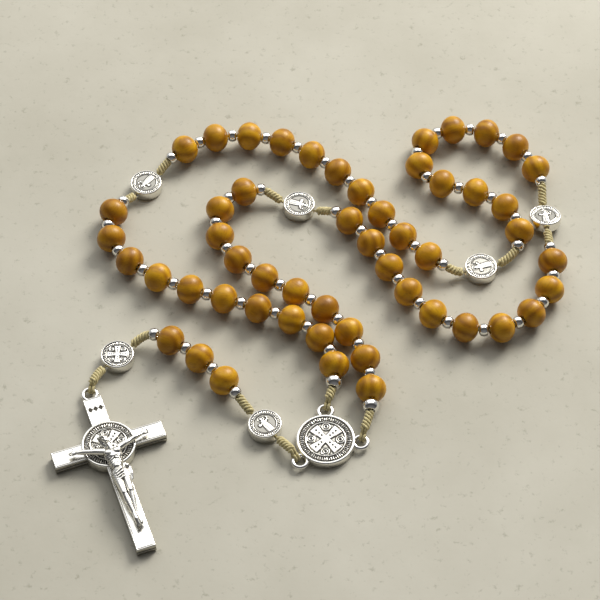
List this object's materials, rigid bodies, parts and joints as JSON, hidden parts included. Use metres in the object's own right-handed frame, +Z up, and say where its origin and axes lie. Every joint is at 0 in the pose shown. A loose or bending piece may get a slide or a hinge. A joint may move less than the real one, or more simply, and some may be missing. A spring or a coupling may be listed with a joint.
{
  "type": "rosary",
  "caption": "Corded rosary of round wooden prayer beads with silver spacers, coin medal beads, a round centrepiece and a silver crucifix, lying on a table.",
  "frame": {"origin": "middle of the centrepiece's flat back, which lies on the table, so the table is z = 0", "axes": "+Z up from the table; +X to the right and +Y away from the reader, with the crucifix at the near left"},
  "size_m": [0.1363, 0.1411, 0.0081],
  "materials": {
    "wood": "varnished honey-brown hardwood, semi-gloss",
    "silver": "polished silver-tone metal with a dark patina in the recesses",
    "cord": "ecru twisted cord with knots wound on it"
  },
  "bodies": {
    "centrepiece": {"centrepiece": "silver"},
    "decade_1": {"decade_1_cord": "cord"},
    "decade_2": {"decade_2_cord": "cord"},
    "decade_3": {"decade_3_cord": "cord"},
    "decade_4": {"decade_4_cord": "cord"},
    "decade_5": {"decade_5_cord": "cord"},
    "pendant_upper": {"pendant_upper_cord": "cord"},
    "pendant_beads": {"pendant_beads_cord": "cord"},
    "pendant_lower": {"pendant_lower_cord": "cord"},
    "crucifix": {"cross": "silver", "figure": "silver"},
    "medal_1": {"medal_1": "silver"},
    "medal_2": {"medal_2": "silver"},
    "medal_3": {"medal_3": "silver"},
    "medal_4": {"medal_4": "silver"},
    "medal_5": {"medal_5": "silver"},
    "medal_6": {"medal_6": "silver"},
    "decade_1_bead_02": {"decade_1_bead_02": "wood"},
    "decade_1_bead_03": {"decade_1_bead_03": "wood"},
    "decade_1_bead_04": {"decade_1_bead_04": "wood"},
    "decade_1_bead_05": {"decade_1_bead_05": "wood"},
    "decade_1_bead_06": {"decade_1_bead_06": "wood"},
    "decade_1_bead_07": {"decade_1_bead_07": "wood"},
    "decade_1_bead_08": {"decade_1_bead_08": "wood"},
    "decade_1_bead_09": {"decade_1_bead_09": "wood"},
    "decade_2_bead_02": {"decade_2_bead_02": "wood"},
    "decade_2_bead_03": {"decade_2_bead_03": "wood"},
    "decade_2_bead_04": {"decade_2_bead_04": "wood"},
    "decade_2_bead_05": {"decade_2_bead_05": "wood"},
    "decade_2_bead_06": {"decade_2_bead_06": "wood"},
    "decade_2_bead_07": {"decade_2_bead_07": "wood"},
    "decade_2_bead_08": {"decade_2_bead_08": "wood"},
    "decade_2_bead_09": {"decade_2_bead_09": "wood"},
    "decade_3_bead_02": {"decade_3_bead_02": "wood"},
    "decade_3_bead_03": {"decade_3_bead_03": "wood"},
    "decade_3_bead_04": {"decade_3_bead_04": "wood"},
    "decade_3_bead_05": {"decade_3_bead_05": "wood"},
    "decade_3_bead_06": {"decade_3_bead_06": "wood"},
    "decade_3_bead_07": {"decade_3_bead_07": "wood"},
    "decade_3_bead_08": {"decade_3_bead_08": "wood"},
    "decade_3_bead_09": {"decade_3_bead_09": "wood"},
    "decade_4_bead_02": {"decade_4_bead_02": "wood"},
    "decade_4_bead_03": {"decade_4_bead_03": "wood"},
    "decade_4_bead_04": {"decade_4_bead_04": "wood"},
    "decade_4_bead_05": {"decade_4_bead_05": "wood"},
    "decade_4_bead_06": {"decade_4_bead_06": "wood"},
    "decade_4_bead_07": {"decade_4_bead_07": "wood"},
    "decade_4_bead_08": {"decade_4_bead_08": "wood"},
    "decade_4_bead_09": {"decade_4_bead_09": "wood"},
    "decade_5_bead_02": {"decade_5_bead_02": "wood"},
    "decade_5_bead_03": {"decade_5_bead_03": "wood"},
    "decade_5_bead_04": {"decade_5_bead_04": "wood"},
    "decade_5_bead_05": {"decade_5_bead_05": "wood"},
    "decade_5_bead_06": {"decade_5_bead_06": "wood"},
    "decade_5_bead_07": {"decade_5_bead_07": "wood"},
    "decade_5_bead_08": {"decade_5_bead_08": "wood"},
    "decade_5_bead_09": {"decade_5_bead_09": "wood"},
    "pendant_beads_bead_01": {"pendant_beads_bead_01": "wood"},
    "pendant_beads_bead_02": {"pendant_beads_bead_02": "wood"},
    "pendant_beads_bead_03": {"pendant_beads_bead_03": "wood"}
  },
  "joints": [
    {"name": "crucifix_lift", "type": "hinge", "parent": "pendant_lower", "child": "crucifix", "pos_m": [-0.06127, 0.01422, 0.0014], "axis": [-0.9397, -0.342, 0], "range_deg": [0, 45]},
    {"name": "fold_1_at_centrepiece", "type": "hinge", "parent": "centrepiece", "child": "decade_1", "pos_m": [0.00899, -0.00047, 0.0012], "axis": [0.6884, -0.7254, 0], "range_deg": [0, 45]},
    {"name": "fold_2_at_medal_1", "type": "hinge", "parent": "decade_1", "child": "decade_2", "pos_m": [-0.00269, 0.07621, 0.0016], "axis": [-0.0401, 0.9992, 0], "range_deg": [-20, 0]},
    {"name": "fold_3_at_medal_2", "type": "hinge", "parent": "decade_2", "child": "decade_3", "pos_m": [0.0613, 0.0767, 0.00169], "axis": [0.6712, 0.7413, 0], "range_deg": [0, 25]},
    {"name": "fold_4_at_medal_3", "type": "hinge", "parent": "decade_3", "child": "decade_4", "pos_m": [0.0385, 0.0544, 0.0016], "axis": [0.6468, 0.7627, 0], "range_deg": [0, 25]},
    {"name": "fold_5_at_medal_4", "type": "hinge", "parent": "decade_4", "child": "decade_5", "pos_m": [-0.0526, 0.082, 0.0016], "axis": [-0.5846, 0.8113, 0], "range_deg": [-20, 0]},
    {"name": "pendant_upper_swing", "type": "hinge", "parent": "centrepiece", "child": "pendant_upper", "pos_m": [-0.00653, -0.00619, 0.0012], "axis": [0, 0, 1], "range_deg": [0, 60]},
    {"name": "pendant_beads_lift", "type": "hinge", "parent": "pendant_upper", "child": "pendant_beads", "pos_m": [-0.0185, 0.0076, 0.0016], "axis": [0.7512, 0.6601, 0], "range_deg": [0, 35]},
    {"name": "pendant_lower_swing", "type": "hinge", "parent": "pendant_beads", "child": "pendant_lower", "pos_m": [-0.0578, 0.023, 0.00161], "axis": [0, 0, 1], "range_deg": [-30, 30]},
    {"name": "spin_medal_1", "type": "hinge", "parent": "decade_1", "child": "medal_1", "pos_m": [-0.00683, 0.0777, 0.0016], "axis": [0.9405, -0.3397, 0.0007], "continuous": true},
    {"name": "spin_medal_2", "type": "hinge", "parent": "decade_2", "child": "medal_2", "pos_m": [0.0614, 0.07241, 0.00268], "axis": [-0.0218, 0.9744, -0.2236], "continuous": true},
    {"name": "spin_medal_3", "type": "hinge", "parent": "decade_3", "child": "medal_3", "pos_m": [0.04273, 0.05561, 0.0016], "axis": [-0.9613, -0.2755, -0.0007], "continuous": true},
    {"name": "spin_medal_4", "type": "hinge", "parent": "decade_4", "child": "medal_4", "pos_m": [-0.04991, 0.08548, 0.0016], "axis": [-0.6107, -0.7919, 0.001], "continuous": true},
    {"name": "spin_medal_5", "type": "hinge", "parent": "pendant_upper", "child": "medal_5", "pos_m": [-0.0156, 0.0043, 0.0016], "axis": [-0.6601, 0.7512, -0.0001], "continuous": true},
    {"name": "spin_medal_6", "type": "hinge", "parent": "pendant_beads", "child": "medal_6", "pos_m": [-0.05474, 0.02616, 0.0016], "axis": [-0.695, -0.719, 0.0022], "continuous": true},
    {"name": "wood_decade_1_bead_02", "type": "hinge", "parent": "decade_1", "child": "decade_1_bead_02", "pos_m": [0.0106, 0.02395, 0.004], "axis": [-0.2915, 0.9566, 0], "continuous": true},
    {"name": "wood_decade_1_bead_03", "type": "hinge", "parent": "decade_1", "child": "decade_1_bead_03", "pos_m": [0.00637, 0.03267, 0.004], "axis": [-0.5459, 0.8378, 0], "continuous": true},
    {"name": "wood_decade_1_bead_04", "type": "hinge", "parent": "decade_1", "child": "decade_1_bead_04", "pos_m": [0.00014, 0.0401, 0.004], "axis": [-0.7381, 0.6747, 0], "continuous": true},
    {"name": "wood_decade_1_bead_05", "type": "hinge", "parent": "decade_1", "child": "decade_1_bead_05", "pos_m": [-0.0077, 0.04583, 0.004], "axis": [-0.8536, 0.5209, 0], "continuous": true},
    {"name": "wood_decade_1_bead_06", "type": "hinge", "parent": "decade_1", "child": "decade_1_bead_06", "pos_m": [-0.01609, 0.05075, 0.004], "axis": [-0.8312, 0.5559, 0], "continuous": true},
    {"name": "wood_decade_1_bead_07", "type": "hinge", "parent": "decade_1", "child": "decade_1_bead_07", "pos_m": [-0.02349, 0.05702, 0.004], "axis": [-0.6696, 0.7427, 0], "continuous": true},
    {"name": "wood_decade_1_bead_08", "type": "hinge", "parent": "decade_1", "child": "decade_1_bead_08", "pos_m": [-0.02857, 0.0652, 0.004], "axis": [-0.3327, 0.943, 0], "continuous": true},
    {"name": "wood_decade_1_bead_09", "type": "hinge", "parent": "decade_1", "child": "decade_1_bead_09", "pos_m": [-0.02876, 0.07459, 0.004], "axis": [0.3486, 0.9373, 0], "continuous": true},
    {"name": "wood_decade_2_bead_02", "type": "hinge", "parent": "decade_2", "child": "decade_2_bead_02", "pos_m": [0.01288, 0.0628, 0.004], "axis": [0.5221, -0.8529, 0], "continuous": true},
    {"name": "wood_decade_2_bead_03", "type": "hinge", "parent": "decade_2", "child": "decade_2_bead_03", "pos_m": [0.01765, 0.05431, 0.004], "axis": [0.4821, -0.8761, 0], "continuous": true},
    {"name": "wood_decade_2_bead_04", "type": "hinge", "parent": "decade_2", "child": "decade_2_bead_04", "pos_m": [0.0226, 0.04593, 0.004], "axis": [0.563, -0.8264, 0], "continuous": true},
    {"name": "wood_decade_2_bead_05", "type": "hinge", "parent": "decade_2", "child": "decade_2_bead_05", "pos_m": [0.0289, 0.03858, 0.004], "axis": [0.765, -0.644, 0], "continuous": true},
    {"name": "wood_decade_2_bead_06", "type": "hinge", "parent": "decade_2", "child": "decade_2_bead_06", "pos_m": [0.03738, 0.03406, 0.004], "axis": [0.9646, -0.2637, 0], "continuous": true},
    {"name": "wood_decade_2_bead_07", "type": "hinge", "parent": "decade_2", "child": "decade_2_bead_07", "pos_m": [0.04693, 0.034, 0.004], "axis": [0.9662, 0.2577, 0], "continuous": true},
    {"name": "wood_decade_2_bead_08", "type": "hinge", "parent": "decade_2", "child": "decade_2_bead_08", "pos_m": [0.05518, 0.03884, 0.004], "axis": [0.7254, 0.6883, 0], "continuous": true},
    {"name": "wood_decade_2_bead_09", "type": "hinge", "parent": "decade_2", "child": "decade_2_bead_09", "pos_m": [0.06064, 0.04675, 0.004], "axis": [0.3741, 0.9274, 0], "continuous": true},
    {"name": "wood_decade_3_bead_02", "type": "hinge", "parent": "decade_3", "child": "decade_3_bead_02", "pos_m": [0.05476, 0.09764, 0.004], "axis": [-0.7019, 0.7122, 0], "continuous": true},
    {"name": "wood_decade_3_bead_03", "type": "hinge", "parent": "decade_3", "child": "decade_3_bead_03", "pos_m": [0.04676, 0.10297, 0.004], "axis": [-0.9313, 0.3643, 0], "continuous": true},
    {"name": "wood_decade_3_bead_04", "type": "hinge", "parent": "decade_3", "child": "decade_3_bead_04", "pos_m": [0.03729, 0.10424, 0.004], "axis": [-0.9892, -0.1463, 0], "continuous": true},
    {"name": "wood_decade_3_bead_05", "type": "hinge", "parent": "decade_3", "child": "decade_3_bead_05", "pos_m": [0.02912, 0.09972, 0.004], "axis": [-0.62, -0.7846, 0], "continuous": true},
    {"name": "wood_decade_3_bead_06", "type": "hinge", "parent": "decade_3", "child": "decade_3_bead_06", "pos_m": [0.02711, 0.09078, 0.004], "axis": [0.2455, -0.9694, 0], "continuous": true},
    {"name": "wood_decade_3_bead_07", "type": "hinge", "parent": "decade_3", "child": "decade_3_bead_07", "pos_m": [0.03329, 0.08405, 0.004], "axis": [0.9176, -0.3976, 0], "continuous": true},
    {"name": "wood_decade_3_bead_08", "type": "hinge", "parent": "decade_3", "child": "decade_3_bead_08", "pos_m": [0.04248, 0.08094, 0.004], "axis": [0.9254, -0.3791, 0], "continuous": true},
    {"name": "wood_decade_3_bead_09", "type": "hinge", "parent": "decade_3", "child": "decade_3_bead_09", "pos_m": [0.05038, 0.0755, 0.004], "axis": [0.6568, -0.754, 0], "continuous": true},
    {"name": "wood_decade_4_bead_02", "type": "hinge", "parent": "decade_4", "child": "decade_4_bead_02", "pos_m": [0.02173, 0.06513, 0.004], "axis": [-0.6307, 0.776, 0], "continuous": true},
    {"name": "wood_decade_4_bead_03", "type": "hinge", "parent": "decade_4", "child": "decade_4_bead_03", "pos_m": [0.01603, 0.07302, 0.004], "axis": [-0.5638, 0.8259, 0], "continuous": true},
    {"name": "wood_decade_4_bead_04", "type": "hinge", "parent": "decade_4", "child": "decade_4_bead_04", "pos_m": [0.01045, 0.081, 0.004], "axis": [-0.6051, 0.7961, 0], "continuous": true},
    {"name": "wood_decade_4_bead_05", "type": "hinge", "parent": "decade_4", "child": "decade_4_bead_05", "pos_m": [0.0041, 0.08837, 0.004], "axis": [-0.697, 0.7171, 0], "continuous": true},
    {"name": "wood_decade_4_bead_06", "type": "hinge", "parent": "decade_4", "child": "decade_4_bead_06", "pos_m": [-0.00319, 0.0948, 0.004], "axis": [-0.8113, 0.5846, 0], "continuous": true},
    {"name": "wood_decade_4_bead_07", "type": "hinge", "parent": "decade_4", "child": "decade_4_bead_07", "pos_m": [-0.01166, 0.09952, 0.004], "axis": [-0.9287, 0.3709, 0], "continuous": true},
    {"name": "wood_decade_4_bead_08", "type": "hinge", "parent": "decade_4", "child": "decade_4_bead_08", "pos_m": [-0.02106, 0.10183, 0.004], "axis": [-0.995, 0.1002, 0], "continuous": true},
    {"name": "wood_decade_4_bead_09", "type": "hinge", "parent": "decade_4", "child": "decade_4_bead_09", "pos_m": [-0.03069, 0.10121, 0.004], "axis": [-0.9637, -0.2671, 0], "continuous": true},
    {"name": "wood_decade_5_bead_02", "type": "hinge", "parent": "decade_5", "child": "decade_5_bead_02", "pos_m": [-0.05837, 0.06434, 0.004], "axis": [0.3409, -0.9401, 0], "continuous": true},
    {"name": "wood_decade_5_bead_03", "type": "hinge", "parent": "decade_5", "child": "decade_5_bead_03", "pos_m": [-0.05291, 0.05646, 0.004], "axis": [0.7256, -0.6881, 0], "continuous": true},
    {"name": "wood_decade_5_bead_04", "type": "hinge", "parent": "decade_5", "child": "decade_5_bead_04", "pos_m": [-0.045, 0.05086, 0.004], "axis": [0.8754, -0.4835, 0], "continuous": true},
    {"name": "wood_decade_5_bead_05", "type": "hinge", "parent": "decade_5", "child": "decade_5_bead_05", "pos_m": [-0.03614, 0.04684, 0.004], "axis": [0.9329, -0.3602, 0], "continuous": true},
    {"name": "wood_decade_5_bead_06", "type": "hinge", "parent": "decade_5", "child": "decade_5_bead_06", "pos_m": [-0.02695, 0.04364, 0.004], "axis": [0.9477, -0.319, 0], "continuous": true},
    {"name": "wood_decade_5_bead_07", "type": "hinge", "parent": "decade_5", "child": "decade_5_bead_07", "pos_m": [-0.01776, 0.04041, 0.004], "axis": [0.9397, -0.3421, 0], "continuous": true},
    {"name": "wood_decade_5_bead_08", "type": "hinge", "parent": "decade_5", "child": "decade_5_bead_08", "pos_m": [-0.00878, 0.03669, 0.004], "axis": [0.8804, -0.4742, 0], "continuous": true},
    {"name": "wood_decade_5_bead_09", "type": "hinge", "parent": "decade_5", "child": "decade_5_bead_09", "pos_m": [-0.00126, 0.03069, 0.004], "axis": [0.6138, -0.7895, 0], "continuous": true},
    {"name": "wood_pendant_beads_bead_01", "type": "hinge", "parent": "pendant_beads", "child": "pendant_beads_bead_01", "pos_m": [-0.02632, 0.01697, 0.00403], "axis": [-0.6345, 0.7727, -0.016], "continuous": true},
    {"name": "wood_pendant_beads_bead_02", "type": "hinge", "parent": "pendant_beads", "child": "pendant_beads_bead_02", "pos_m": [-0.03294, 0.0241, 0.004], "axis": [-0.7364, 0.6765, 0], "continuous": true},
    {"name": "wood_pendant_beads_bead_03", "type": "hinge", "parent": "pendant_beads", "child": "pendant_beads_bead_03", "pos_m": [-0.04076, 0.02984, 0.00403], "axis": [-0.8746, 0.4846, 0.0159], "continuous": true}
  ]
}
